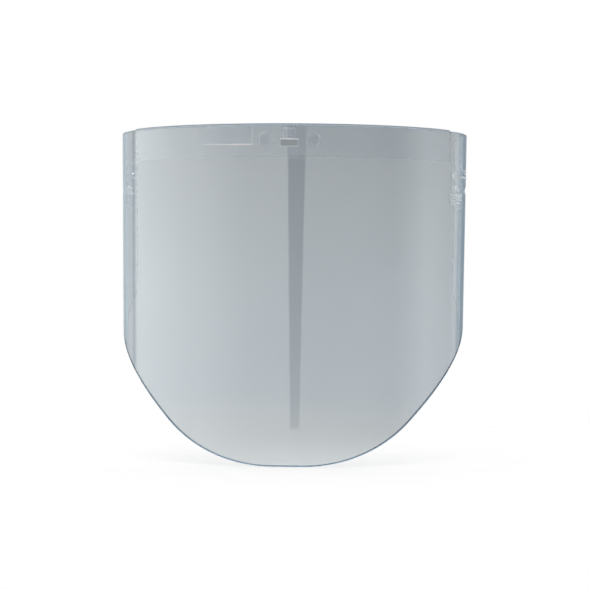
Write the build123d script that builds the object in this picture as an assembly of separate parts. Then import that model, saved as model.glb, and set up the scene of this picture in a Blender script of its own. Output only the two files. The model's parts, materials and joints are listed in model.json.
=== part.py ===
from build123d import *
import os
from math import radians, tan

# Clear three-point window of a face shield: one curved panel with a band along its top, a catch
# over the crown slot, two crown studs, a blank label plate and a riveted lug at each rear edge.
#
# Frame, in mm: +Z up, the wearer looks along -Y, +X is the wearer's left. The origin is the middle
# of the crown slot, on the outer face. A place on the window is given by its arc, the distance
# along the top edge from the centre line, and its drop, the distance below the top lip. An inset
# is a depth below the outer face, so a negative one stands proud of it.

# Window panel
OVERALL_HEIGHT = 229.0
PANEL_THICKNESS = 2.03
TOP_HALF_WIDTH = 122.32
TOP_DEPTH = 80.82
TAPER = 0.0125
WRAP_ANGLE = 106.0
CHIN_CORNER_ARC = 55.14
CHIN_RADIUS = 115.0
CHEEK_SLOPE = 42.0
REAR_RADIUS = 12.0
TOP_CORNER_RADIUS = 5.0

# Crown: slot, band, catch and studs
SLOT_WIDTH = 12.0
SLOT_HEIGHT = 4.7
SLOT_DROP = 12.9
SLOT_RADIUS = 0.5
LIP_RISE = 1.0
BAND_THICKNESS = 1.1
BAND_HEIGHT = 22.4
BAND_HALF_ARC = 124.5
CATCH_WIDTH = 9.0
CATCH_TOP_DROP = 3.1
CATCH_DEPTH_TOP = 0.7
CATCH_DEPTH_BOTTOM = 1.7
STUD_ARC = 16.2
STUD_DROP = 10.8
STUD_HEAD_RADIUS = 5.0
STUD_CLINCH_RADIUS = 2.6
STUD_SHANK_RADIUS = 1.8
STUD_HEAD_HEIGHT = 0.9
STUD_CLINCH_HEIGHT = 0.4

# Blank label plate on the outer face, to the wearer's right of the crown
LABEL_ARC = -43.1
LABEL_DROP = 8.5
LABEL_WIDTH = 37.2
LABEL_HEIGHT = 12.2
LABEL_THICKNESS = 0.4
LABEL_RADIUS = 1.0

# Side lugs, slots and rivets, the same on both sides
LUG_ARC = 165.5
LUG_DROP = 36.4
LUG_LENGTH = 31.0
LUG_HEIGHT = 32.0
LUG_THICKNESS = 1.1
LUG_RADIUS = 4.0
SIDE_SLOT_ARC = 163.0
SIDE_SLOT_DROP = 40.2
SIDE_SLOT_LENGTH = 24.0
SIDE_SLOT_HEIGHT = 4.4
RIVET_ARC = 174.5
RIVET_DROP = 29.4
RIVET_HEAD_RADIUS = 2.6
RIVET_SHANK_RADIUS = 1.4
RIVET_HEAD_HEIGHT = 0.6

# Plain raised bars on the outer face, to the wearer's left: first arc, last arc, drop, height
MARKING_HEIGHT = 0.3
MARKING_BARS = (
    (122.6, 140.0, 44.9, 1.6),
    (122.6, 140.0, 47.5, 1.6),
    (122.6, 137.0, 50.0, 1.6),
    (124.3, 134.6, 39.6, 1.6),
    (124.6, 133.0, 31.6, 4.4),
    (137.0, 156.0, 31.6, 1.6),
    (144.5, 154.0, 27.6, 3.2),
)

# Working allowances
HOLE_CLEARANCE = 0.05
CUT_MARGIN = 6.0
CLOSED_ANGLE = 125.0
OUTLINE_SAMPLES = 16

# The top lip and the lowest point as heights in the frame, and the ellipse's axis behind the slot
TOP_Z = SLOT_DROP
BOTTOM_Z = TOP_Z - OVERALL_HEIGHT
PANEL_TOP_Z = TOP_Z - LIP_RISE
AXIS_Y = TOP_DEPTH * (1 - TAPER * TOP_Z / TOP_HALF_WIDTH)
STACK = PANEL_THICKNESS + BAND_THICKNESS
LUG_STACK = PANEL_THICKNESS + LUG_THICKNESS

# The top edge's half ellipse, from the rear edge at -X round the front to the rear edge at +X
FRONT_ANGLE = 270.0
RIM = Edge.make_ellipse(
    TOP_HALF_WIDTH,
    TOP_DEPTH,
    start_angle=FRONT_ANGLE - WRAP_ANGLE,
    end_angle=FRONT_ANGLE + WRAP_ANGLE,
)
HALF_ARC = RIM.length / 2


def scale_at(height):
    """Size of the ellipse at a height, as a fraction of its size at the top lip."""
    return 1 - TAPER * (TOP_Z - height) / TOP_HALF_WIDTH


def surface_plane(arc, height, inset=0.0):
    """Plane on the window: its x runs along the curve, its y up and its z outwards."""
    place = HALF_ARC + arc
    rim_point = RIM.position_at(place, PositionMode.LENGTH)
    along = RIM.tangent_at(place, PositionMode.LENGTH)
    outwards = Vector(along.Y, -along.X, 0)
    on_face = Vector(rim_point.X, rim_point.Y, 0) * scale_at(height) + Vector(0, AXIS_Y, height)
    return Plane(on_face - outwards * inset, x_dir=along, z_dir=outwards)


def ellipse_section(inset, height):
    """Closed wire: the ellipse at one height and inset, cut off behind the rear edges."""
    size = scale_at(height)
    curve = Edge.make_ellipse(
        TOP_HALF_WIDTH * size - inset,
        TOP_DEPTH * size - inset,
        Plane((0, AXIS_Y, height)),
        FRONT_ANGLE - CLOSED_ANGLE,
        FRONT_ANGLE + CLOSED_ANGLE,
    )
    return Wire([curve, Edge.make_line(curve @ 1, curve @ 0)])


def core(inset, low=BOTTOM_Z - CUT_MARGIN, high=TOP_Z + CUT_MARGIN):
    """Everything that lies inside the window's tapering surface at one inset."""
    return Solid.make_loft([ellipse_section(inset, low), ellipse_section(inset, high)], ruled=True)


def layer(outer_inset, inner_inset, low=BOTTOM_Z - CUT_MARGIN, high=TOP_Z + CUT_MARGIN):
    """Curved layer between two insets and two heights."""
    return core(outer_inset, low, high) - core(inner_inset, low - 1, high + 1)


def prism(arc, drop, outline):
    """Cutter: a flat outline carried straight through the window at one place."""
    return extrude(surface_plane(arc, TOP_Z - drop) * outline, amount=CUT_MARGIN + STACK, both=True)


def flat_outline():
    """Lower outline of the panel laid flat: x is the arc, y the height above the lowest point."""
    above_top = OVERALL_HEIGHT + CUT_MARGIN
    cheek_height = (HALF_ARC - CHIN_CORNER_ARC) * tan(radians(CHEEK_SLOPE))
    return FilletPolyline(
        (-HALF_ARC, above_top),
        (-HALF_ARC, cheek_height),
        (-CHIN_CORNER_ARC, 0),
        (CHIN_CORNER_ARC, 0),
        (HALF_ARC, cheek_height),
        (HALF_ARC, above_top),
        radius=(REAR_RADIUS, CHIN_RADIUS, CHIN_RADIUS, REAR_RADIUS),
    )


def wrapped(flat_edge, inset):
    """One edge of the flat outline, bent round onto the window at an inset."""
    points = []
    for step in range(OUTLINE_SAMPLES + 1):
        flat = flat_edge @ (step / OUTLINE_SAMPLES)
        points.append(surface_plane(flat.X, BOTTOM_Z + flat.Y, inset).origin)
    return Edge.make_spline(points)


def trimming_shell():
    """Ruled sheet that stands square to the window all along its lower outline."""
    faces = []
    for flat_edge in flat_outline().edges():
        outside = wrapped(flat_edge, -CUT_MARGIN)
        inside = wrapped(flat_edge, CUT_MARGIN)
        faces.append(Face.make_surface_from_curves(outside, inside))
    return Shell(faces)


def front_solid(shape):
    """The solid that reaches furthest forwards, where a cut leaves several."""
    return shape.solids().sort_by(lambda solid: solid.bounding_box().min.Y)[0]


def crown_slot():
    """Cutter for the slot that the headgear's crown hook goes through."""
    return prism(0, SLOT_DROP, RectangleRounded(SLOT_WIDTH, SLOT_HEIGHT, SLOT_RADIUS))


def side_slot(side):
    """Cutter for the round-ended slot at one rear edge."""
    return prism(side * SIDE_SLOT_ARC, SIDE_SLOT_DROP, SlotOverall(SIDE_SLOT_LENGTH, SIDE_SLOT_HEIGHT))


def top_corner(side):
    """Cutter that rounds one top rear corner of the panel."""
    corner = Rectangle(2 * TOP_CORNER_RADIUS, 2 * TOP_CORNER_RADIUS)
    keep = Rectangle(4 * TOP_CORNER_RADIUS, 2 * TOP_CORNER_RADIUS)
    outline = corner - Circle(TOP_CORNER_RADIUS)
    outline -= Pos(0, -TOP_CORNER_RADIUS) * keep
    outline -= Pos(-side * 2 * TOP_CORNER_RADIUS, 0) * keep
    return prism(side * (HALF_ARC - TOP_CORNER_RADIUS), LIP_RISE + TOP_CORNER_RADIUS, outline)


def marking_bar(first_arc, last_arc, drop, height):
    """One plain raised bar that follows the outer face."""
    cutter = prism((first_arc + last_arc) / 2, drop, Rectangle(last_arc - first_arc, height))
    return layer(-MARKING_HEIGHT, 0) & cutter


def window_panel():
    """The curved panel itself, with its slots, stud holes and raised bars."""
    tube = layer(0, PANEL_THICKNESS, high=PANEL_TOP_Z)
    panel = front_solid(Compound(tube.split(trimming_shell(), keep=Keep.ALL)))
    panel -= crown_slot()
    for side in (-1, 1):
        panel -= side_slot(side)
        panel -= top_corner(side)
        panel -= prism(side * STUD_ARC, STUD_DROP, Circle(STUD_SHANK_RADIUS + HOLE_CLEARANCE))
        panel -= prism(side * RIVET_ARC, RIVET_DROP, Circle(RIVET_SHANK_RADIUS + HOLE_CLEARANCE))
    for bar in MARKING_BARS:
        panel += marking_bar(*bar)
    return panel


def top_band():
    """Strip along the inner face of the top edge, standing just above the panel."""
    strip = layer(PANEL_THICKNESS, STACK, low=TOP_Z - BAND_HEIGHT, high=TOP_Z)
    reach = 2 * TOP_HALF_WIDTH
    for side in (-1, 1):
        past_end = surface_plane(side * BAND_HALF_ARC, TOP_Z) * Pos(side * reach / 2, 0, 0)
        strip -= past_end * Box(reach, reach, reach)
        strip -= prism(side * STUD_ARC, STUD_DROP, Circle(STUD_SHANK_RADIUS + HOLE_CLEARANCE))
    return front_solid(strip - crown_slot())


def crown_catch():
    """Ramp above the crown slot that the headgear's hook snaps over."""
    low = TOP_Z - SLOT_DROP + SLOT_HEIGHT / 2
    high = TOP_Z - CATCH_TOP_DROP
    profile = Polyline(
        (0, low),
        (STACK + CATCH_DEPTH_BOTTOM, low),
        (STACK + CATCH_DEPTH_TOP, high),
        (0, high),
        close=True,
    )
    ramp = extrude(Plane.YZ * make_face(profile), amount=CATCH_WIDTH / 2, both=True)
    return ramp & core(STACK)


def disc(plane, radius, outwards):
    """Short cylinder from a plane on the window, outwards or, if negative, inwards."""
    return extrude(plane * Circle(radius), amount=outwards)


def clinched_stud(arc, drop, stack, shank_radius, outer_cap, inner_cap):
    """Round fastener through the window: a shank and two caps, each given as (radius, height)."""
    outer_radius, outer_height = outer_cap
    inner_radius, inner_height = inner_cap
    middle = surface_plane(arc, TOP_Z - drop, stack / 2)
    outside = disc(middle, outer_radius, stack / 2 + outer_height) - core(0)
    inside = disc(middle, inner_radius, -stack / 2 - inner_height) & core(stack)
    shank = disc(middle, shank_radius, (stack + outer_height) / 2)
    shank += disc(middle, shank_radius, -(stack + inner_height) / 2)
    return shank + outside + inside


def crown_stud(side):
    """Round button that holds the band to the panel beside the crown slot."""
    outer_cap = (STUD_CLINCH_RADIUS, STUD_CLINCH_HEIGHT)
    inner_cap = (STUD_HEAD_RADIUS, STUD_HEAD_HEIGHT)
    return clinched_stud(side * STUD_ARC, STUD_DROP, STACK, STUD_SHANK_RADIUS, outer_cap, inner_cap)


def label_plate():
    """Thin blank plate that follows the outer face under the top lip."""
    cutter = prism(LABEL_ARC, LABEL_DROP, RectangleRounded(LABEL_WIDTH, LABEL_HEIGHT, LABEL_RADIUS))
    return layer(-LABEL_THICKNESS, 0) & cutter


def side_lug(side):
    """Stiffening pad inside one rear edge, with the same slot through it as the panel."""
    outline = RectangleRounded(LUG_LENGTH, LUG_HEIGHT, LUG_RADIUS)
    lug = layer(PANEL_THICKNESS, LUG_STACK) & prism(side * LUG_ARC, LUG_DROP, outline)
    lug -= side_slot(side)
    return lug - prism(side * RIVET_ARC, RIVET_DROP, Circle(RIVET_SHANK_RADIUS + HOLE_CLEARANCE))


def lug_rivet(side):
    """Small round rivet that holds one lug to the panel."""
    cap = (RIVET_HEAD_RADIUS, RIVET_HEAD_HEIGHT)
    return clinched_stud(side * RIVET_ARC, RIVET_DROP, LUG_STACK, RIVET_SHANK_RADIUS, cap, cap)


def build_nodes():
    """Every node of the window by name. Left and right are the wearer's."""
    nodes = {
        "window_panel": window_panel(),
        "top_band": top_band(),
        "crown_catch": crown_catch(),
        "label_plate": label_plate(),
    }
    for name, side in (("left", 1), ("right", -1)):
        nodes[f"crown_stud_{name}"] = crown_stud(side)
        nodes[f"side_lug_{name}"] = side_lug(side)
        nodes[f"lug_rivet_{name}"] = lug_rivet(side)
    return nodes


os.makedirs("parts", exist_ok=True)
for node_name, node_shape in build_nodes().items():
    export_step(node_shape, f"parts/{node_name}.step")
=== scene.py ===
import json
from math import ceil, cos, pi, radians, sin, tan

import bmesh
import bpy
import numpy as np
from mathutils import Matrix, Vector
from mathutils.geometry import delaunay_2d_cdt


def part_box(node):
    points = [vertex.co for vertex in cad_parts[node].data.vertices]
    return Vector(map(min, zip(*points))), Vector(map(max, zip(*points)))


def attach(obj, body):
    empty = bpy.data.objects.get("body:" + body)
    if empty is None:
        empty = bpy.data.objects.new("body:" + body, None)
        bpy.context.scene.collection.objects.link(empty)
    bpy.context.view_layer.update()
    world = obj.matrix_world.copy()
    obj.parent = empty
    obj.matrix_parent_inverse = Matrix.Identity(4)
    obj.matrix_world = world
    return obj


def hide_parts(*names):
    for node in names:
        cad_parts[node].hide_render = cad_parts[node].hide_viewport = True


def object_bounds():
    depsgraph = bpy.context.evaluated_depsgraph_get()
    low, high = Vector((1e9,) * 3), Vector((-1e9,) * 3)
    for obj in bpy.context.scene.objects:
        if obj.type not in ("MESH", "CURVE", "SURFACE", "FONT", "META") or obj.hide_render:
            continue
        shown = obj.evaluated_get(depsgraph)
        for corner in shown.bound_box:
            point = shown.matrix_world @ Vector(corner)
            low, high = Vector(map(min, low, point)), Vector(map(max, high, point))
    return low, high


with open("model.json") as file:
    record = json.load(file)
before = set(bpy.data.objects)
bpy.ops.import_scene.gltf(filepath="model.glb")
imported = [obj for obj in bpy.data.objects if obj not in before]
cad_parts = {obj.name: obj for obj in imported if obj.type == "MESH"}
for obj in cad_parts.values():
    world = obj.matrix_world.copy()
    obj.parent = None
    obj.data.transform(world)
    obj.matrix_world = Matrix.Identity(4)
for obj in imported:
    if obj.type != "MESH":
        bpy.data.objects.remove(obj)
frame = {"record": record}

# The window is drawn flat and then bent round its tapering half ellipse. A flat place is an arc,
# the distance along the top edge from the centre line; a height, which is z in the frame; and an
# inset, the depth below the outer face. Everything is in metres.

MM = 0.001
cad_low, cad_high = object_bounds()
panel_low, panel_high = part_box("window_panel")
band_low, band_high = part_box("top_band")
mounts = {mount["name"]: Vector(mount["pos_m"]) for mount in frame["record"]["mounts"]}

# The curved surface
WRAP_ANGLE = radians(106.0)
TAPER = 0.0125
TOP_Z = band_high.z
BOTTOM_Z = panel_low.z
HALF_WIDTH = (panel_high.x - panel_low.x) / 2
DEPTH = (panel_high.y - panel_low.y) / (1 - cos(WRAP_ANGLE))
AXIS_Y = panel_low.y + DEPTH
ARC_SAMPLES = 4001
ARC_SAMPLED_TO = 1.05 * WRAP_ANGLE

# The panel's outline laid flat
PANEL_THICKNESS = 2.03 * MM
CHIN_CORNER_ARC = 55.14 * MM
CHIN_RADIUS = 115 * MM
CHEEK_SLOPE = radians(42.0)
REAR_RADIUS = 12 * MM
TOP_CORNER_RADIUS = 5 * MM

# Crown
SLOT_WIDTH = 12 * MM
SLOT_HEIGHT = 4.7 * MM
SLOT_RADIUS = 0.5 * MM
BAND_THICKNESS = 1.1 * MM
BAND_HALF_ARC = 124.5 * MM
BAND_CORNER_RADIUS = 0.6 * MM
CATCH_WIDTH = 9 * MM
STUD_ARC = 16.2 * MM
STUD_HEAD_RADIUS = 5 * MM
STUD_CLINCH_RADIUS = 2.6 * MM
STUD_HEAD_HEIGHT = 0.9 * MM
STUD_RING_WIDTH = 0.9 * MM
STUD_CLINCH_HEIGHT = 0.4 * MM
STUD_HEIGHT = TOP_Z - 10.8 * MM
CATCH_DEPTH_TOP = 0.7 * MM
CATCH_DEPTH_BOTTOM = 1.7 * MM
CATCH_BEVEL = 0.3 * MM
CATCH_FLARE = 0.7 * MM
CATCH_SIDE_FACING = 0.2

# Label plate and marking bars
LABEL_ARC = -43.1 * MM
LABEL_WIDTH = 37.2 * MM
LABEL_RADIUS = 1 * MM
LABEL_THICKNESS = 0.4 * MM
LABEL_ROUNDING = LABEL_THICKNESS / 4
LEDGE_HEIGHT = 0.7 * MM
LEDGE_RADIUS = 0.28 * MM
SIDE_LEDGE_WIDTH = 0.35 * MM
SIDE_LEDGE_RADIUS = 0.14 * MM
BAR_THICKNESS = 0.3 * MM
BAR_ROUNDING = BAR_THICKNESS / 3
BAR_AIR_GAP = 0.01 * MM
BAR_CORNER_RADIUS = 0.4 * MM
# Each bar's first and last arc, the depth of its middle below the top lip, and its height, in mm
MARKING_BARS = (
    (122.6, 140.0, 44.9, 1.6),
    (122.6, 140.0, 47.5, 1.6),
    (122.6, 137.0, 50.0, 1.6),
    (124.3, 134.6, 39.6, 1.6),
    (124.6, 133.0, 31.6, 4.4),
    (137.0, 156.0, 31.6, 1.6),
    (144.5, 154.0, 27.6, 3.2),
)

# Side lugs, slots and rivets
LUG_ARC = 165.5 * MM
LUG_LENGTH = 31 * MM
LUG_THICKNESS = 1.1 * MM
LUG_RADIUS = 4 * MM
SIDE_SLOT_ARC = 163 * MM
SIDE_SLOT_LENGTH = 24 * MM
SIDE_SLOT_HEIGHT = 4.4 * MM
SIDE_SLOT_RADIUS = 0.999 * SIDE_SLOT_HEIGHT / 2
RIVET_ARC = 174.5 * MM
RIVET_HEIGHT = TOP_Z - 29.4 * MM
RIVET_HEAD_RADIUS = 2.6 * MM
RIVET_SHANK_RADIUS = 1.4 * MM
RIVET_HEAD_HEIGHT = 0.6 * MM
CAP_FLATNESS = 0.9
CAP_TURNS = [radians(turn) for turn in (0, 30, 60, 90)]

# The rounding of cut edges, and the air gaps between pieces that lie on each other
EDGE_RADIUS = 0.35 * MM
PANEL_EDGE_REACH = 0.8 * MM
AIR_GAP = 0.03 * MM
HOLE_CLEARANCE = 0.05 * MM

# Mesh fineness
STEP = 2.5 * MM
GRID = 4 * MM
ROUND_STEPS = 3
CORNER_STEPS = 6
TURN_STEPS = 48
CIRCLE = np.arange(TURN_STEPS) * 2 * pi / TURN_STEPS
CLOSE = 0.001 * MM
SHARP_ANGLE = radians(50)

# Materials: bonded pieces bend light less than the panel, as moulded steps on it would
POLYCARBONATE_IOR = 1.585
BONDED_IOR = 1.2
STUD_IOR = 1.07
WAVE_DEPTH = 0.08 * MM
HAIRLINE_DEPTH = 0.002 * MM
CUTTER_LINE_DEPTH = 0.004 * MM
NOISE_MIDDLE = (0.3, 0.7)
TINT_MIDDLE = (0.35, 0.65)
ROUGHNESS_RANGE = (0.6, 1.6)
ABSORPTION_HEADROOM = 1.1
# Hole walls whose normals point further down than this get the painted glint
GLINT_FACING = -0.35
# The panel's cut edge is painted a dark blue shade; towards the rear it turns paler and clearer
REAR_EDGE_START = AXIS_Y
REAR_EDGE_FULL = AXIS_Y + 8 * MM
REAR_EDGE_COLOUR = (0.85, 0.88, 0.9)
REAR_EDGE_CLEARNESS = 0.85
# Painted shade: the top edges of the panel and the band are coloured a mid blue for the blue line along
# the top lip
TOP_EDGE_START = TOP_Z - 4 * MM
TOP_EDGE_FULL = TOP_Z - 2.5 * MM
TOP_EDGE_SHADE = (0.36, 0.43, 0.49)
TOP_EDGE_CLEARNESS = 0.3

# Studio, with its azimuths, elevations and half widths in degrees. The soft boxes give the light
# that the window mirrors at each azimuth, from the front towards +X.
SOFTBOXES = (
    (-180, 0.9),
    (-158, 1.0),
    (-148, 0.75),
    (-138, 1.0),
    (-128, 1.25),
    (-122, 1.45),
    (-115.5, 0.65),
    (-112.5, 2.3),
    (-103, 2.8),
    (-98, 3.05),
    (-77, 3.25),
    (-66, 3.15),
    (-56, 2.85),
    (-46, 2.75),
    (-40, 2.5),
    (-30, 2.15),
    (-22, 1.9),
    (-4, 1.75),
    (6, 1.45),
    (36, 1.4),
    (50, 1.28),
    (57, 1.4),
    (65, 1.7),
    (78, 2.1),
    (88, 1.9),
    (100, 1.6),
    (112, 1.25),
    (121, 1.28),
    (128, 1.25),
    (132, 0.65),
    (160, 0.47),
    (180, 0.9),
)
SOFTBOX_TOP = max(light for _, light in SOFTBOXES)
SOFTBOX_TINT = (0.965, 0.995, 0.99)
SOFTBOX_FADE = 0.2
SHADE_TINT = (0.66, 0.9, 1.12)
SHADE_REACH = 0.8

# The dark flag that the stripe mirrors: it widens upwards and lets more light through above its top
FLAG_AZIMUTH = 0.9
FLAG_BOTTOM = -5.25
FLAG_HALF_WIDTH = 2.02
FLAG_FLARE = 0.2
FLAG_SOFTNESS = 0.6
FLAG_FOOT = -5.22
FLAG_FOOT_SOFTNESS = 0.12
FLAG_LEAK = 0.12
FLAG_TOP = 3.6
FLAG_TOP_SOFTNESS = 0.1
FLAG_TOP_LEAK = 0.6

# The bright table below the window, from where it starts down to where it has faded out
TABLE_START = -5.2
TABLE_FULL = -7.2
TABLE_FADE = -12
TABLE_END = -40
TABLE_LIGHT = 3.15

# What lies behind the window
SURROUND = (1.0, 1.0, 1.0)
BACKDROP = (0.414, 0.446, 0.472)
BACKDROP_FOOT = (0.45, 0.468, 0.472)
BACKDROP_FOOT_START = -3.0
BACKDROP_FOOT_FULL = -4.4
BACKDROP_FADE = 0.045
BACKDROP_REACH = 6
SLOT_BACKDROP = (0.262, 0.283, 0.295)
SLOT_VIEW_ANGLE = radians(0.45)

# Floor and overhead light
FLOOR_RADIUS = 0.7
FLOOR_FADE_START = 0.3 * FLOOR_RADIUS
FLOOR_FADE_END = 0.95 * FLOOR_RADIUS
FLOOR_SEGMENTS = 128
FLOOR_GAP = 0.5 * MM
FLOOR_ALPHA = 0.35
OVERHEAD_WATTS = 6
OVERHEAD_SIZE = 1.6
OVERHEAD_PLACE = Vector((-0.4, -0.5, 1.6))

# Camera, with its lens and sensor in mm
CAMERA_AZIMUTH = radians(2.45)
CAMERA_DISTANCE = 1.24
CAMERA_CLIP_START = 0.01
CAMERA_SENSOR = 36
CAMERA_LENS = 106.35
CAMERA_SHIFT = 0.0034
CAMERA_ROLL = radians(0.44)


# ---------------------------------------------------------------- the curved surface

angles = np.linspace(0, ARC_SAMPLED_TO, ARC_SAMPLES)
mid_angles = (angles[1:] + angles[:-1]) / 2
arc_pieces = np.hypot(HALF_WIDTH * np.cos(mid_angles), DEPTH * np.sin(mid_angles)) * np.diff(angles)
arcs = np.concatenate([[0], np.cumsum(arc_pieces)])
HALF_ARC = float(np.interp(WRAP_ANGLE, angles, arcs))


def rim_angle(arc):
    """Ellipse angle from the centre line at a distance along the top edge."""
    return np.sign(arc) * np.interp(np.abs(arc), arcs, angles)


def bend(flat):
    """Flat places as points in the frame."""
    angle = rim_angle(flat[:, 0])
    size = 1 - TAPER * (TOP_Z - flat[:, 1]) / HALF_WIDTH
    x = (HALF_WIDTH * size - flat[:, 2]) * np.sin(angle)
    y = AXIS_Y - (DEPTH * size - flat[:, 2]) * np.cos(angle)
    return np.stack([x, y, flat[:, 1]], axis=1)


def unit(vectors):
    return vectors / np.linalg.norm(vectors, axis=1, keepdims=True)


def bend_normals(flat, flat_normals):
    """Directions given as (along, up, outwards) at flat places, as directions in the frame."""
    angle = rim_angle(flat[:, 0])
    zero = np.zeros_like(angle)
    slope = TAPER / HALF_WIDTH
    along = unit(np.stack([HALF_WIDTH * np.cos(angle), DEPTH * np.sin(angle), zero], axis=1))
    lean_x, lean_y = HALF_WIDTH * slope * np.sin(angle), -DEPTH * slope * np.cos(angle)
    up = unit(np.stack([lean_x, lean_y, zero + 1], axis=1))
    out = np.cross(along, up)
    return unit(along * flat_normals[:, :1] + up * flat_normals[:, 1:2] + out * flat_normals[:, 2:])


# ---------------------------------------------------------------- flat outlines

def rounded_outline(corners, radii):
    """Evenly spaced points anticlockwise round a polygon whose corners are rounded."""
    stretches = []
    for index, here in enumerate(corners):
        before = (corners[index - 1] - here).normalized()
        after = (corners[(index + 1) % len(corners)] - here).normalized()
        half = before.angle(after) / 2
        radius = radii[index]
        centre = here + (before + after).normalized() * radius / sin(half)
        spoke = here + before * radius / tan(half) - centre
        sweep = pi - 2 * half
        steps = max(CORNER_STEPS, ceil(sweep * radius / STEP))
        turned = [Matrix.Rotation(sweep * step / steps, 2) @ spoke for step in range(steps + 1)]
        stretches.append([centre + arm for arm in turned])
    points = []
    for index, stretch in enumerate(stretches):
        points.extend(stretch)
        gap = stretches[(index + 1) % len(stretches)][0] - stretch[-1]
        pieces = ceil(gap.length / STEP)
        points.extend(stretch[-1] + gap * step / pieces for step in range(1, pieces))
        if gap.length < CLOSE:
            points.pop()
    return np.array([tuple(point) for point in points])


def rectangle_outline(arc, height, width, tall, radius):
    """Rounded rectangle centred on a flat place."""
    sides = [(-1, -1), (1, -1), (1, 1), (-1, 1)]
    corners = [Vector((arc + x * width / 2, height + y * tall / 2)) for x, y in sides]
    return rounded_outline(corners, [radius] * 4)


def circle_outline(arc, height, radius):
    return np.stack([arc + radius * np.cos(CIRCLE), height + radius * np.sin(CIRCLE)], axis=1)


def inside(points, outline):
    """Which points lie inside a closed outline."""
    x, y = points[:, :1], points[:, 1:]
    x1, y1 = outline[:, 0], outline[:, 1]
    x2, y2 = np.roll(x1, -1), np.roll(y1, -1)
    rise = np.where(y2 == y1, 1, y2 - y1)
    crosses = ((y1 > y) != (y2 > y)) & (x < (x2 - x1) * (y - y1) / rise + x1)
    return crosses.sum(axis=1) % 2 == 1


def outward(loop):
    """Directions pointing to the right of travel at each point of a closed loop."""
    ahead = unit(np.roll(loop, -1, axis=0) - loop)
    mean = unit(ahead + np.roll(ahead, 1, axis=0))
    return np.stack([mean[:, 1], -mean[:, 0]], axis=1)


# ---------------------------------------------------------------- meshes

def edge_profile(thickness, depth):
    """Rounded edge from the outer face to the inner.

    Each point has its share of the reach, its inset, and how far it faces sideways and outwards.
    """
    turns = [pi / 2 * step / ROUND_STEPS for step in range(ROUND_STEPS + 1)]
    first = [(1 - sin(turn), depth * (1 - cos(turn)), sin(turn), cos(turn)) for turn in turns]
    second = [(share, thickness - inset, side, -out) for share, inset, side, out in reversed(first)]
    return first + second


def grid_points(outline, holes):
    """Regular points well inside an outline and clear of its holes."""
    margin = GRID / 2
    low, high = outline.min(axis=0), outline.max(axis=0)
    columns = np.arange(low[0] + margin, high[0], GRID)
    rows = np.arange(low[1] + margin, high[1], GRID)
    grid = np.stack(np.meshgrid(columns, rows), axis=-1).reshape(-1, 2)
    keep = inside(grid, outline)
    for hole in holes:
        keep &= ~inside(grid, hole)
    for point in np.concatenate([outline] + holes):
        keep &= np.hypot(*(grid - point).T) > margin
    return grid[keep]


def triangles(loops, grid):
    """Triangles over the loops' points and the grid, inside the first loop and outside the rest."""
    points = np.concatenate(loops + [grid])
    edges = []
    start = 0
    for loop in loops:
        count = len(loop)
        edges += [(start + index, start + (index + 1) % count) for index in range(count)]
        start += count
    found = delaunay_2d_cdt([Vector(point) for point in points], edges, [], 0, CLOSE)
    source = [origins[0] for origins in found[3]]
    faces = np.array([[source[corner] for corner in face] for face in found[2]])
    middles = points[faces].mean(axis=1)
    keep = inside(middles, loops[0])
    for hole in loops[1:]:
        keep &= ~inside(middles, hole)
    return faces[keep]


def bent_plate(outline, holes, outer_inset, inner_inset, depth=EDGE_RADIUS, reach=EDGE_RADIUS):
    """Plate with rounded edges and holes, bent onto the window.

    Its rim is rounded to the depth and reaches in from the edge by reach, and its holes' walls by
    the depth both ways. Gives its points, their normals, and the faces of its two sides, its rim
    and its holes' walls.
    """
    profile = edge_profile(inner_inset - outer_inset, depth)
    loops = [outline] + [hole[::-1] for hole in holes]
    reaches = [reach] + [depth] * len(holes)
    sideways = [outward(loop) for loop in loops]
    pulled = [loop - side * far for loop, side, far in zip(loops, sideways, reaches)]
    border, border_out = np.concatenate(loops), np.concatenate(sideways)
    border_reach = np.concatenate([np.full((len(loop), 1), far) for loop, far in zip(loops, reaches)])
    count = len(border)
    grid = grid_points(outline, holes)
    caps = triangles(pulled, grid)
    flat, flat_normals = [], []
    for share, inset, side, out in profile:
        places = border - border_out * border_reach * share
        slopes = border_out * side / border_reach
        flat.append(np.column_stack([places, np.full(count, outer_inset + inset)]))
        flat_normals.append(unit(np.column_stack([slopes, np.full(count, out / depth)])))
    for inset, out in ((outer_inset, 1.0), (inner_inset, -1.0)):
        flat.append(np.column_stack([grid, np.full(len(grid), inset)]))
        flat_normals.append(np.tile([0.0, 0.0, out], (len(grid), 1)))
    flat, flat_normals = np.concatenate(flat), np.concatenate(flat_normals)

    last_ring = (len(profile) - 1) * count
    outer_cap = np.where(caps < count, caps, caps + last_ring)
    inner_cap = np.where(caps < count, caps + last_ring, caps + last_ring + len(grid))
    walls = []
    start = 0
    for loop in loops:
        for index in range(len(loop)):
            here, ahead = start + index, start + (index + 1) % len(loop)
            for level in range(0, last_ring, count):
                walls.append([here + level, here + level + count, ahead + level + count, ahead + level])
        start += len(loop)
    rim_faces = len(outline) * (len(profile) - 1)
    sides = np.vstack([outer_cap, inner_cap[:, ::-1]]).tolist()
    return bend(flat), bend_normals(flat, flat_normals), sides, walls[:rim_faces], walls[rim_faces:]


def finish_piece(piece, node):
    """Puts a piece in the scene, riding on the part in place of its CAD node."""
    bpy.context.scene.collection.objects.link(piece)
    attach(piece, "root")
    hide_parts(node)


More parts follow.
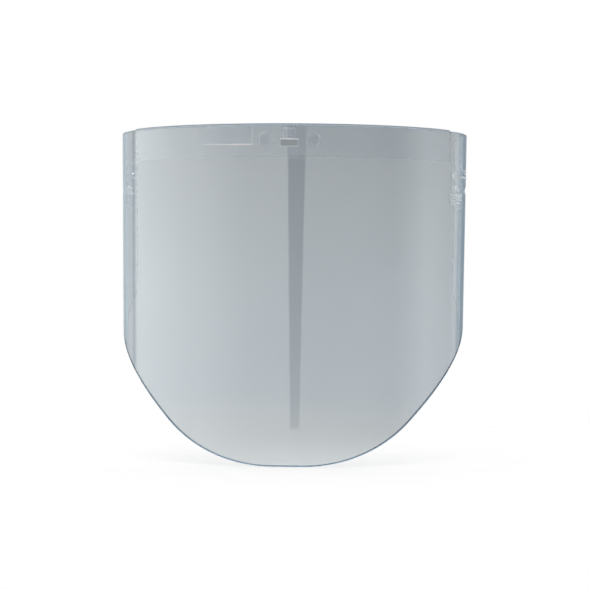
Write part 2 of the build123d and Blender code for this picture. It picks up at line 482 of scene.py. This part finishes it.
def plate_piece(name, plates, face_material, rim_material, glint_material, node):
    """One mesh object made of bent plates, with one material on its rims and one elsewhere.

    The upper walls of its holes, which face down, get a pale, warm, matt material: a painted highlight
    for the glint along each hole's upper edge.
    """
    points, normals, faces, materials = [], [], [], []
    for plate_points, plate_normals, sides, rim, walls in plates:
        start = sum(len(part) for part in points)
        points.append(plate_points)
        normals.append(plate_normals)
        faces += [[corner + start for corner in face] for face in sides + rim + walls]
        glinting_walls = [plate_normals[wall, 2].mean() < GLINT_FACING for wall in walls]
        materials += [0] * len(sides) + [1] * len(rim) + [2 if glint else 0 for glint in glinting_walls]
    mesh = bpy.data.meshes.new(name)
    mesh.from_pydata(np.concatenate(points).tolist(), [], faces)
    for material in (face_material, rim_material, glint_material):
        mesh.materials.append(material)
    mesh.polygons.foreach_set("material_index", materials)
    mesh.shade_smooth()
    mesh.normals_split_custom_set_from_vertices(np.concatenate(normals).tolist())
    finish_piece(bpy.data.objects.new(name, mesh), node)


def turned_piece(name, place, solids, face_material, ring_material, node):
    """Round pieces centred on a flat place, in one mesh.

    Each solid is its profile, (radius, inset) from its outer to its inner pole, and the step of the
    profile that has the ring's material.
    """
    arc, height = place
    flat, faces, materials = [], [], []
    for profile, ring_step in solids:
        start = sum(len(part) for part in flat)
        flat.append(np.array([[arc, height, profile[0][1]]]))
        for radius, inset in profile[1:-1]:
            ring = circle_outline(arc, height, radius)
            flat.append(np.column_stack([ring, np.full(TURN_STEPS, inset)]))
        flat.append(np.array([[arc, height, profile[-1][1]]]))
        levels = len(profile) - 3
        last = start + 1 + levels * TURN_STEPS
        for index in range(TURN_STEPS):
            ahead = (index + 1) % TURN_STEPS
            faces.append([start, start + 1 + index, start + 1 + ahead])
            faces.append([last + index, last + TURN_STEPS, last + ahead])
            materials += [0, 0]
            for level in range(levels):
                here = start + 1 + level * TURN_STEPS
                below = here + TURN_STEPS
                faces.append([here + index, below + index, below + ahead, here + ahead])
                materials.append(1 if level == ring_step else 0)
    mesh = bpy.data.meshes.new(name)
    mesh.from_pydata(bend(np.concatenate(flat)).tolist(), [], faces)
    mesh.materials.append(face_material)
    mesh.materials.append(ring_material)
    mesh.polygons.foreach_set("material_index", materials)
    mesh.shade_smooth()
    mesh.set_sharp_from_angle(angle=SHARP_ANGLE)
    finish_piece(bpy.data.objects.new(name, mesh), node)


# ---------------------------------------------------------------- materials

def new_material(name):
    """Material with its node tree and its Principled shader."""
    material = bpy.data.materials.new(name)
    material.use_nodes = True
    return material, material.node_tree, material.node_tree.nodes["Principled BSDF"]


def object_place(tree):
    """Place in the frame, in metres."""
    return tree.nodes.new("ShaderNodeTexCoord").outputs["Object"]


def noise(tree, scale, detail, stretch=(1, 1, 1)):
    """Noise over the piece, with its scale in features per metre."""
    mapping = tree.nodes.new("ShaderNodeMapping")
    mapping.inputs["Scale"].default_value = stretch
    texture = tree.nodes.new("ShaderNodeTexNoise")
    texture.inputs["Scale"].default_value = scale
    texture.inputs["Detail"].default_value = detail
    tree.links.new(object_place(tree), mapping.inputs["Vector"])
    tree.links.new(mapping.outputs["Vector"], texture.inputs["Vector"])
    return texture.outputs["Fac"]


def map_range(tree, value, source, target=(0, 1), interpolation="LINEAR"):
    """Node that maps a value from one range onto another, and stops at its ends."""
    node = tree.nodes.new("ShaderNodeMapRange")
    node.interpolation_type = interpolation
    names = ("From Min", "From Max", "To Min", "To Max")
    for name, number in zip(names, (*source, *target)):
        node.inputs[name].default_value = number
    tree.links.new(value, node.inputs["Value"])
    return node


def along_axis(tree, axis, first, last, interpolation="LINEAR"):
    """Runs from 0 at one place on an axis to 1 at another."""
    axes = tree.nodes.new("ShaderNodeSeparateXYZ")
    tree.links.new(object_place(tree), axes.inputs[0])
    node = map_range(tree, axes.outputs[axis], (first, last), interpolation=interpolation)
    return node.outputs["Result"]


def spread(tree, value, low, high, socket):
    """Maps the middle of a noise onto a range and feeds it to a socket."""
    node = map_range(tree, value, NOISE_MIDDLE, (low, high))
    tree.links.new(node.outputs["Result"], socket)


def tinted(tree, value, dark, light, socket):
    """Runs a colour socket from one colour to another by the middle of a value's range."""
    ramp = tree.nodes.new("ShaderNodeValToRGB")
    for stop, position, colour in zip(ramp.color_ramp.elements, TINT_MIDDLE, (dark, light)):
        stop.position = position
        stop.color = (*colour, 1)
    tree.links.new(value, ramp.inputs["Fac"])
    tree.links.new(ramp.outputs["Color"], socket)


def bumped(tree, shader, layers):
    """Stacks bump layers, each a height and the depth in metres that it stands for."""
    normal = None
    for value, depth in layers:
        bump = tree.nodes.new("ShaderNodeBump")
        bump.inputs["Distance"].default_value = depth
        tree.links.new(value, bump.inputs["Height"])
        if normal is not None:
            tree.links.new(normal, bump.inputs["Normal"])
        normal = bump.outputs["Normal"]
    tree.links.new(normal, shader.inputs["Normal"])


def see_through(name, clearness, ior):
    """Material that lets a share of the light through."""
    material, tree, shader = new_material(name)
    shader.inputs["Transmission Weight"].default_value = clearness
    shader.inputs["IOR"].default_value = ior
    return material, tree, shader


def clear_plastic(name, through, thickness, roughness, ior=POLYCARBONATE_IOR):
    """Glossy clear plastic that lets the colour through pass at the given thickness."""
    material, tree, shader = see_through(name, 1, ior)
    clouds = noise(tree, scale=9, detail=3)
    tinted(tree, clouds, (0.95, 0.955, 0.96), (1, 1, 1), shader.inputs["Base Color"])
    smoothest, roughest = (roughness * share for share in ROUGHNESS_RANGE)
    spread(tree, noise(tree, scale=25, detail=6), smoothest, roughest, shader.inputs["Roughness"])
    waves = noise(tree, scale=14, detail=1)
    hairlines = noise(tree, scale=120, detail=2, stretch=(1, 1, 0.05))
    bumped(tree, shader, [(waves, WAVE_DEPTH), (hairlines, HAIRLINE_DEPTH)])
    lost = -np.log(np.array(through)) / thickness
    density = ABSORPTION_HEADROOM * lost.max()
    volume = tree.nodes.new("ShaderNodeVolumeAbsorption")
    volume.inputs["Density"].default_value = density
    volume.inputs["Color"].default_value = (*(1 - lost / density), 1)
    tree.links.new(volume.outputs["Volume"], tree.nodes["Material Output"].inputs["Volume"])
    return material


def cut_edge(name, dark, light, clearness, ior=POLYCARBONATE_IOR):
    """Trimmed edge of the sheet: satin, partly clear, with fine cutter lines round it."""
    material, tree, shader = see_through(name, clearness, ior)
    tinted(tree, noise(tree, scale=120, detail=5), dark, light, shader.inputs["Base Color"])
    spread(tree, noise(tree, scale=400, detail=3), 0.2, 0.4, shader.inputs["Roughness"])
    cutter_lines = noise(tree, scale=900, detail=3, stretch=(1, 1, 0.2))
    bumped(tree, shader, [(cutter_lines, CUTTER_LINE_DEPTH)])
    return material


def edge_zone(material, axis, start, full, colour, clearness):
    """Turns an edge to another colour and clearness from one place on an axis to another."""
    tree = material.node_tree
    inputs = tree.nodes["Principled BSDF"].inputs
    zone = along_axis(tree, axis, start, full, "SMOOTHSTEP")
    before = inputs["Transmission Weight"]
    clear = map_range(tree, zone, (0, 1), (before.default_value, clearness))
    for link in before.links:
        tree.links.new(link.from_socket, clear.inputs["To Min"])
    tree.links.new(clear.outputs["Result"], before)
    blend = tree.nodes.new("ShaderNodeMixRGB")
    blend.inputs["Color2"].default_value = (*colour, 1)
    tree.links.new(inputs["Base Color"].links[0].from_socket, blend.inputs["Color1"])
    tree.links.new(zone, blend.inputs["Fac"])
    tree.links.new(blend.outputs["Color"], inputs["Base Color"])


def highlight_ledge_plastic(name, clearness):
    """Fine matt plastic of the label's ledge, brighter towards the crown: a painted highlight for the
    bright line along the label's lower edge.
    """
    material, tree, shader = see_through(name, clearness, POLYCARBONATE_IOR)
    run = along_axis(tree, "X", LABEL_ARC - LABEL_WIDTH / 2, LABEL_ARC + LABEL_WIDTH / 2)
    tinted(tree, run, (0.74, 0.76, 0.78), (0.93, 0.91, 0.89), shader.inputs["Base Color"])
    spread(tree, noise(tree, scale=900, detail=4), 0.5, 0.6, shader.inputs["Roughness"])
    return material


def frosted(name, clearness):
    """Finely matted clear plastic."""
    material, tree, shader = see_through(name, clearness, POLYCARBONATE_IOR)
    clouds = noise(tree, scale=300, detail=4)
    tinted(tree, clouds, (0.76, 0.8, 0.83), (0.88, 0.91, 0.93), shader.inputs["Base Color"])
    spread(tree, noise(tree, scale=900, detail=4), 0.4, 0.6, shader.inputs["Roughness"])
    bumped(tree, shader, [(noise(tree, scale=2500, detail=2), HAIRLINE_DEPTH)])
    return material


# ---------------------------------------------------------------- pieces

def panel_outline():
    """The panel laid flat, anticlockwise from the rear corner at -X."""
    top = panel_high.z
    cheek = BOTTOM_Z + (HALF_ARC - CHIN_CORNER_ARC) * tan(CHEEK_SLOPE)
    left = [(-HALF_ARC, top), (-HALF_ARC, cheek), (-CHIN_CORNER_ARC, BOTTOM_Z)]
    right = [(-arc, height) for arc, height in reversed(left)]
    radii = [TOP_CORNER_RADIUS, REAR_RADIUS, CHIN_RADIUS]
    return rounded_outline([Vector(corner) for corner in left + right], radii + radii[::-1])


def crown_slot_outline():
    return rectangle_outline(0, mounts["crown_slot"].z, SLOT_WIDTH, SLOT_HEIGHT, SLOT_RADIUS)


def side_slot_outline(side):
    arc, height = side * SIDE_SLOT_ARC, mounts["side_slot_left"].z
    return rectangle_outline(arc, height, SIDE_SLOT_LENGTH, SIDE_SLOT_HEIGHT, SIDE_SLOT_RADIUS)


def rivet_hole(side):
    return circle_outline(side * RIVET_ARC, RIVET_HEIGHT, RIVET_SHANK_RADIUS + HOLE_CLEARANCE)


def make_panel(face, edge, glint):
    holes = [crown_slot_outline()]
    for side in (-1, 1):
        holes += [side_slot_outline(side), rivet_hole(side)]
    panel = bent_plate(panel_outline(), holes, 0, PANEL_THICKNESS, reach=PANEL_EDGE_REACH)
    plate_piece("clear_panel", [panel], face, edge, glint, "window_panel")


def make_band(face, edge, glint):
    middle, tall = (band_low.z + band_high.z) / 2, band_high.z - band_low.z
    outline = rectangle_outline(0, middle, 2 * BAND_HALF_ARC, tall, BAND_CORNER_RADIUS)
    inner_inset = PANEL_THICKNESS + BAND_THICKNESS
    band = bent_plate(outline, [crown_slot_outline()], PANEL_THICKNESS + AIR_GAP, inner_inset)
    plate_piece("clear_band", [band], face, edge, glint, "top_band")


def make_label(face, highlight_face, side_highlight_face):
    """Blank plate on a thin matt ledge, with a fainter one at its end towards the crown. Both ledges
    are pale painted highlights: the light lines along its lower and crown-side edges.
    """
    low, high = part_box("label_plate")
    foot = low.z + LEDGE_HEIGHT + AIR_GAP
    middle, tall = (foot + high.z) / 2, high.z - foot
    width = LABEL_WIDTH - SIDE_LEDGE_WIDTH - AIR_GAP
    arc = LABEL_ARC - (LABEL_WIDTH - width) / 2
    ledge_middle = low.z + LEDGE_HEIGHT / 2
    side_arc = LABEL_ARC + (LABEL_WIDTH - SIDE_LEDGE_WIDTH) / 2
    parts = (
        ("blank_label", face, (arc, middle, width, tall, LABEL_RADIUS)),
        ("label_highlight_ledge", highlight_face, (LABEL_ARC, ledge_middle, LABEL_WIDTH, LEDGE_HEIGHT, LEDGE_RADIUS)),
        ("label_side_highlight_ledge", side_highlight_face, (side_arc, middle, SIDE_LEDGE_WIDTH, tall, SIDE_LEDGE_RADIUS)),
    )
    for name, material, rectangle in parts:
        outline = rectangle_outline(*rectangle)
        plate = bent_plate(outline, [], -LABEL_THICKNESS, -AIR_GAP, LABEL_ROUNDING, LABEL_ROUNDING)
        plate_piece(name, [plate], material, material, material, "label_plate")


def make_bars(face):
    """Plain raised bars in place of moulded writing."""
    plates = []
    for first_arc, last_arc, depth, tall in MARKING_BARS:
        arc, width = (first_arc + last_arc) / 2 * MM, (last_arc - first_arc) * MM
        outline = rectangle_outline(arc, TOP_Z - depth * MM, width, tall * MM, BAR_CORNER_RADIUS)
        bar = bent_plate(outline, [], -BAR_THICKNESS, -BAR_AIR_GAP, BAR_ROUNDING, BAR_ROUNDING)
        plates.append(bar)
    plate_piece("marking_bars", plates, face, face, face, "window_panel")


def make_lug(name, side, face, edge, glint):
    low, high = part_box(f"side_lug_{name}")
    middle, tall = (low.z + high.z) / 2, high.z - low.z
    outline = rectangle_outline(side * LUG_ARC, middle, LUG_LENGTH, tall, LUG_RADIUS)
    holes = [side_slot_outline(side), rivet_hole(side)]
    lug = bent_plate(outline, holes, PANEL_THICKNESS + AIR_GAP, PANEL_THICKNESS + LUG_THICKNESS)
    plate_piece(f"clear_lug_{name}", [lug], face, edge, glint, f"side_lug_{name}")


def domed_cap(radius, face, height, outwards):
    """Half profile of a cap from its pole to its rim, with a softly rounded edge."""
    sign = -1 if outwards else 1
    top = face + sign * height
    soft = height / 2
    rounded = [(radius - soft * (1 - sin(t)), top - sign * soft * (1 - cos(t))) for t in CAP_TURNS]
    return [(0, top), (radius * CAP_FLATNESS - soft, top)] + rounded + [(radius, face)]


def make_stud(name, side, face, ring):
    """Moulded button: its shank has flowed into the window, so only its two ends show. The flat ring of
    its head is pale and frosted: a painted highlight for the pale outline that its edge shows.
    """
    outer_face, inner_face = -AIR_GAP, PANEL_THICKNESS + BAND_THICKNESS + AIR_GAP
    outer = domed_cap(STUD_CLINCH_RADIUS, outer_face, STUD_CLINCH_HEIGHT, outwards=True)
    inner = domed_cap(STUD_HEAD_RADIUS, inner_face, STUD_HEAD_HEIGHT, outwards=False)
    clinch = outer + [(0, outer_face)]
    head = [(0, inner_face), (STUD_HEAD_RADIUS - STUD_RING_WIDTH, inner_face)] + inner[::-1]
    solids = [(clinch, None), (head, 0)]
    place = (side * STUD_ARC, STUD_HEIGHT)
    turned_piece(f"clear_stud_{name}", place, solids, face, ring, f"crown_stud_{name}")


def make_rivet(name, side, face):
    """Rivet with a head on each side and a shank through the panel and the lug."""
    stack = PANEL_THICKNESS + LUG_THICKNESS
    outer = domed_cap(RIVET_HEAD_RADIUS, -AIR_GAP, RIVET_HEAD_HEIGHT, outwards=True)
    inner = domed_cap(RIVET_HEAD_RADIUS, stack + AIR_GAP, RIVET_HEAD_HEIGHT, outwards=False)
    shank = [(RIVET_SHANK_RADIUS, 0), (RIVET_SHANK_RADIUS, stack)]
    solids = [(outer + shank + inner[::-1], None)]
    place = (side * RIVET_ARC, RIVET_HEIGHT)
    turned_piece(f"clear_rivet_{name}", place, solids, face, face, f"lug_rivet_{name}")


def make_catch(face_material, highlight_material):
    """Ramp with flared matt sides and soft edges, deepest at its foot, where the hook snaps on. Its
    sides are pale: painted highlights for the light lines along them.
    """
    low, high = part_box("crown_catch")
    back = PANEL_THICKNESS + BAND_THICKNESS + AIR_GAP
    shape = bmesh.new()
    bmesh.ops.create_cube(shape, size=1)
    for corner in shape.verts:
        depth = CATCH_DEPTH_TOP if corner.co.y > 0 else CATCH_DEPTH_BOTTOM
        height = high.z if corner.co.y > 0 else low.z
        inner = corner.co.z > 0
        width = CATCH_WIDTH - (0 if inner else 2 * CATCH_FLARE)
        corner.co = (corner.co.x * width, height, back + (depth if inner else 0))
    edges = shape.edges[:]
    bmesh.ops.bevel(shape, geom=edges, offset=CATCH_BEVEL, segments=ROUND_STEPS, affect="EDGES")
    shape.normal_update()
    for face in shape.faces:
        face.material_index = 1 if abs(face.normal.x) > CATCH_SIDE_FACING else 0
    flat = np.array([corner.co for corner in shape.verts])
    for corner, point in zip(shape.verts, bend(flat)):
        corner.co = point
    bmesh.ops.recalc_face_normals(shape, faces=shape.faces[:])
    mesh = bpy.data.meshes.new("clear_catch")
    shape.to_mesh(mesh)
    shape.free()
    mesh.materials.append(face_material)
    mesh.materials.append(highlight_material)
    mesh.shade_smooth()
    mesh.set_sharp_from_angle(angle=SHARP_ANGLE)
    finish_piece(bpy.data.objects.new("clear_catch", mesh), "crown_catch")


# ---------------------------------------------------------------- studio

def node_math(tree, operation, *values, clamp=False):
    """Result of a Math node on numbers and sockets."""
    node = tree.nodes.new("ShaderNodeMath")
    node.operation = operation
    node.use_clamp = clamp
    for socket, value in zip(node.inputs, values):
        if isinstance(value, (int, float)):
            socket.default_value = value
        else:
            tree.links.new(value, socket)
    return node.outputs[0]


def rising(tree, value, low, high):
    """Smooth step from 0 at low to 1 at high."""
    return map_range(tree, value, (low, high), interpolation="SMOOTHSTEP").outputs["Result"]


def background(tree, colour):
    node = tree.nodes.new("ShaderNodeBackground")
    node.inputs["Color"].default_value = (*colour, 1)
    return node


def mixed(tree, factor, first, second):
    node = tree.nodes.new("ShaderNodeMixShader")
    tree.links.new(factor, node.inputs["Fac"])
    tree.links.new(first.outputs[0], node.inputs[1])
    tree.links.new(second.outputs[0], node.inputs[2])
    return node


def ray_angles(tree, direction):
    """Azimuth from the front towards +X, and elevation, of a ray, in degrees."""
    axes = tree.nodes.new("ShaderNodeSeparateXYZ")
    tree.links.new(direction, axes.inputs[0])
    forwards = node_math(tree, "MULTIPLY", axes.outputs["Y"], -1)
    turn = node_math(tree, "ARCTAN2", axes.outputs["X"], forwards)
    climb = node_math(tree, "ARCSINE", axes.outputs["Z"])
    return [node_math(tree, "MULTIPLY", angle, 180 / pi) for angle in (turn, climb)]


def soft_boxes(tree, azimuth, elevation):
    """Light of the soft boxes, a little weaker low down."""
    ramp = tree.nodes.new("ShaderNodeValToRGB")
    stops = ramp.color_ramp.elements
    for degrees, _ in SOFTBOXES[1:-1]:
        stops.new(degrees / 360 + 0.5)
    for stop, (_, light) in zip(stops, SOFTBOXES):
        stop.color = (light / SOFTBOX_TOP, light / SOFTBOX_TOP, light / SOFTBOX_TOP, 1)
    turns = node_math(tree, "DIVIDE", azimuth, 360)
    tree.links.new(node_math(tree, "ADD", turns, 0.5), ramp.inputs["Fac"])
    climb = rising(tree, elevation, FLAG_BOTTOM, 0)
    level = node_math(tree, "MULTIPLY_ADD", climb, SOFTBOX_FADE, 1 - SOFTBOX_FADE)
    light = node_math(tree, "MULTIPLY", ramp.outputs["Color"], SOFTBOX_TOP)
    return node_math(tree, "MULTIPLY", light, level)


def past_flag(tree, azimuth, elevation):
    """Share of the soft boxes' light that comes beside, below or through the dark flag."""
    side = node_math(tree, "ABSOLUTE", node_math(tree, "SUBTRACT", azimuth, FLAG_AZIMUTH))
    climb = node_math(tree, "SUBTRACT", elevation, FLAG_BOTTOM)
    half_width = node_math(tree, "MULTIPLY_ADD", climb, FLAG_FLARE, FLAG_HALF_WIDTH)
    clear_of_flag = node_math(tree, "SUBTRACT", side, half_width)
    beside = rising(tree, clear_of_flag, -FLAG_SOFTNESS, FLAG_SOFTNESS)
    above_foot = rising(tree, elevation, FLAG_FOOT - FLAG_FOOT_SOFTNESS, FLAG_FOOT + FLAG_FOOT_SOFTNESS)
    below = node_math(tree, "SUBTRACT", 1, above_foot)
    above = rising(tree, elevation, FLAG_TOP, FLAG_TOP + FLAG_TOP_SOFTNESS)
    leak = node_math(tree, "MULTIPLY_ADD", above, FLAG_TOP_LEAK - FLAG_LEAK, FLAG_LEAK)
    return node_math(tree, "MAXIMUM", node_math(tree, "MAXIMUM", beside, below), leak)


def mirrored_studio(tree, azimuth, elevation):
    """What the window mirrors: soft boxes, flag and table, bluer where they are dark."""
    softbox = soft_boxes(tree, azimuth, elevation)
    room = node_math(tree, "MULTIPLY", past_flag(tree, azimuth, elevation), softbox)
    above_table = rising(tree, elevation, TABLE_FULL, TABLE_START)
    on_table = node_math(tree, "SUBTRACT", 1, above_table)
    table = node_math(tree, "MULTIPLY", on_table, rising(tree, elevation, TABLE_END, TABLE_FADE))
    gain = node_math(tree, "SUBTRACT", TABLE_LIGHT, room)
    light = node_math(tree, "ADD", room, node_math(tree, "MULTIPLY", table, gain))

    tint = tree.nodes.new("ShaderNodeValToRGB")
    tint.color_ramp.elements[0].color = (*SHADE_TINT, 1)
    tint.color_ramp.elements[1].color = (*SOFTBOX_TINT, 1)
    tree.links.new(node_math(tree, "MULTIPLY", light, SHADE_REACH), tint.inputs["Fac"])
    studio = background(tree, SOFTBOX_TINT)
    tree.links.new(light, studio.inputs["Strength"])
    tree.links.new(tint.outputs["Color"], studio.inputs["Color"])
    return studio


def grey_backdrop(tree, elevation):
    """What is seen through the window: a grey backdrop, lighter and less blue towards its foot."""
    near_level = node_math(tree, "MAXIMUM", elevation, -BACKDROP_REACH)
    near_level = node_math(tree, "MINIMUM", near_level, BACKDROP_REACH)
    strength = node_math(tree, "MULTIPLY_ADD", near_level, -BACKDROP_FADE, 1)
    parts = [background(tree, colour) for colour in (BACKDROP_FOOT, BACKDROP)]
    for part in parts:
        tree.links.new(strength, part.inputs["Strength"])
    return mixed(tree, rising(tree, elevation, BACKDROP_FOOT_FULL, BACKDROP_FOOT_START), *parts)


def make_world(viewpoint):
    """White surround, with a grey backdrop behind the window and a soft studio mirrored in it.

    The backdrop is seen through the clear plastic and, darker, through the open crown slot from the
    camera's viewpoint. The studio is seen only in reflections. Rays that leave a matt surface see
    the white surround.
    """
    world = bpy.data.worlds.new("studio")
    bpy.context.scene.world = world
    world.use_nodes = True
    tree = world.node_tree
    tree.nodes.clear()
    direction = tree.nodes.new("ShaderNodeTexCoord").outputs["Generated"]
    azimuth, elevation = ray_angles(tree, direction)

    path = tree.nodes.new("ShaderNodeLightPath")
    unscattered = node_math(tree, "SUBTRACT", 1, path.outputs["Diffuse Depth"], clamp=True)
    bounced = node_math(tree, "MINIMUM", path.outputs["Glossy Depth"], 1)
    mirrored = node_math(tree, "MULTIPLY", bounced, unscattered)
    passed = node_math(tree, "MULTIPLY", path.outputs["Is Transmission Ray"], unscattered)
    offset = tree.nodes.new("ShaderNodeVectorMath")
    offset.operation = "DISTANCE"
    offset.inputs[1].default_value = (mounts["crown_slot"] - viewpoint).normalized()
    tree.links.new(direction, offset.inputs[0])
    at_slot = node_math(tree, "LESS_THAN", offset.outputs["Value"], SLOT_VIEW_ANGLE)
    in_slot = node_math(tree, "MULTIPLY", at_slot, path.outputs["Is Camera Ray"])

    seen = mixed(tree, passed, background(tree, SURROUND), grey_backdrop(tree, elevation))
    seen = mixed(tree, in_slot, seen, background(tree, SLOT_BACKDROP))
    seen = mixed(tree, mirrored, seen, mirrored_studio(tree, azimuth, elevation))
    output = tree.nodes.new("ShaderNodeOutputWorld")
    tree.links.new(seen.outputs[0], output.inputs["Surface"])


def make_floor():
    """Pale round floor under the chin that fades out into the white surround."""
    disc = bmesh.new()
    bmesh.ops.create_circle(disc, cap_ends=True, segments=FLOOR_SEGMENTS, radius=FLOOR_RADIUS)
    mesh = bpy.data.meshes.new("floor")
    disc.to_mesh(mesh)
    disc.free()
    floor = bpy.data.objects.new("floor", mesh)
    floor.location = (0, AXIS_Y, cad_low.z - FLOOR_GAP)
    floor.visible_glossy = False
    floor.visible_transmission = False
    bpy.context.scene.collection.objects.link(floor)

    material, tree, shader = new_material("pale_floor")
    clouds = noise(tree, scale=30, detail=4)
    tinted(tree, clouds, (0.93, 0.93, 0.93), (0.95, 0.95, 0.95), shader.inputs["Base Color"])
    shader.inputs["Roughness"].default_value = 0.9
    length = tree.nodes.new("ShaderNodeVectorMath")
    length.operation = "LENGTH"
    tree.links.new(object_place(tree), length.inputs[0])
    rim = (FLOOR_FADE_START, FLOOR_FADE_END)
    fade = map_range(tree, length.outputs["Value"], rim, (FLOOR_ALPHA, 0), "SMOOTHSTEP")
    tree.links.new(fade.outputs["Result"], shader.inputs["Alpha"])
    mesh.materials.append(material)


def make_light():
    """Large soft overhead light that gives the floor its faint shadow."""
    light = bpy.data.lights.new("overhead", "AREA")
    light.shape = "DISK"
    light.size = OVERHEAD_SIZE
    light.energy = OVERHEAD_WATTS
    lamp = bpy.data.objects.new("overhead", light)
    lamp.location = OVERHEAD_PLACE
    aim = Vector((0, AXIS_Y, 0)) - OVERHEAD_PLACE
    lamp.rotation_euler = aim.to_track_quat("-Z", "Y").to_euler()
    lamp.visible_glossy = False
    lamp.visible_transmission = False
    lamp.visible_camera = False
    bpy.context.scene.collection.objects.link(lamp)


def make_camera():
    """Long lens, level with the middle of the window and a little to the wearer's left."""
    middle = Vector((0, AXIS_Y, (TOP_Z + BOTTOM_Z) / 2))
    toward = Vector((sin(CAMERA_AZIMUTH), -cos(CAMERA_AZIMUTH), 0))
    camera_data = bpy.data.cameras.new("camera")
    camera_data.sensor_width = CAMERA_SENSOR
    camera_data.lens = CAMERA_LENS
    camera_data.shift_x = CAMERA_SHIFT
    camera_data.clip_start = CAMERA_CLIP_START
    camera = bpy.data.objects.new("camera", camera_data)
    camera.location = middle + toward * CAMERA_DISTANCE
    upright = (-toward).to_track_quat("-Z", "Y").to_matrix()
    camera.rotation_euler = (upright @ Matrix.Rotation(CAMERA_ROLL, 3, "Z")).to_euler()
    bpy.context.scene.collection.objects.link(camera)
    bpy.context.scene.camera = camera
    return camera.location


make_world(make_camera())
make_floor()
make_light()
bpy.context.scene.view_settings.view_transform = "Standard"

panel_face = clear_plastic("clear_panel_face", (0.83, 0.85, 0.865), PANEL_THICKNESS, 0.02)
# Painted shade: the panel's cut edge is coloured dark blue for the dark line that a clear edge shows by
# refraction
panel_edge_shade = cut_edge("panel_painted_shade_edge", (0.1, 0.2, 0.31), (0.17, 0.29, 0.42), 0.25)
band_face = clear_plastic("clear_band_face", (0.945, 0.95, 0.96), BAND_THICKNESS, 0.03, BONDED_IOR)
band_edge = cut_edge("band_cut_edge", (0.68, 0.71, 0.73), (0.8, 0.83, 0.85), 0.85, BONDED_IOR)
label_face = clear_plastic("clear_label_face", (0.97, 0.975, 0.98), LABEL_THICKNESS, 0.05, BONDED_IOR)
# Painted highlight: the bright line along the label's lower edge, brighter towards the crown
label_highlight_face = highlight_ledge_plastic("label_highlight_face", 0.5)
stud_face = clear_plastic("clear_stud_face", (0.8, 0.82, 0.84), STUD_HEAD_RADIUS, 0.04, STUD_IOR)
rivet_face = clear_plastic("clear_rivet_face", (0.8, 0.82, 0.84), RIVET_HEAD_RADIUS, 0.04, BONDED_IOR)
matt_face = frosted("frosted_bar", 0.8)
# Painted highlight: the faint light line along the label's crown-side edge
faint_highlight_face = frosted("painted_faint_highlight", 0.93)
# Painted highlight: the light lines along the catch's sides
catch_highlight_side = frosted("painted_catch_side_highlight", 0.6)
# Painted highlight: the pale warm glint along the upper edges of the slots and holes
glint_face = cut_edge("painted_glint_edge", (0.82, 0.83, 0.83), (0.97, 0.96, 0.95), 0.5)

edge_zone(panel_edge_shade, "Y", REAR_EDGE_START, REAR_EDGE_FULL, REAR_EDGE_COLOUR, REAR_EDGE_CLEARNESS)
# Painted shade: a mid blue line along the top edges
for edge in (panel_edge_shade, band_edge):
    edge_zone(edge, "Z", TOP_EDGE_START, TOP_EDGE_FULL, TOP_EDGE_SHADE, TOP_EDGE_CLEARNESS)

make_panel(panel_face, panel_edge_shade, glint_face)
make_band(band_face, band_edge, glint_face)
make_label(label_face, label_highlight_face, faint_highlight_face)
make_bars(matt_face)
make_catch(band_face, catch_highlight_side)
for name, side in (("left", 1), ("right", -1)):
    make_lug(name, side, band_face, band_edge, glint_face)
    # The studs' pale frosted head rings are a painted highlight
    make_stud(name, side, stud_face, matt_face)
    make_rivet(name, side, rivet_face)
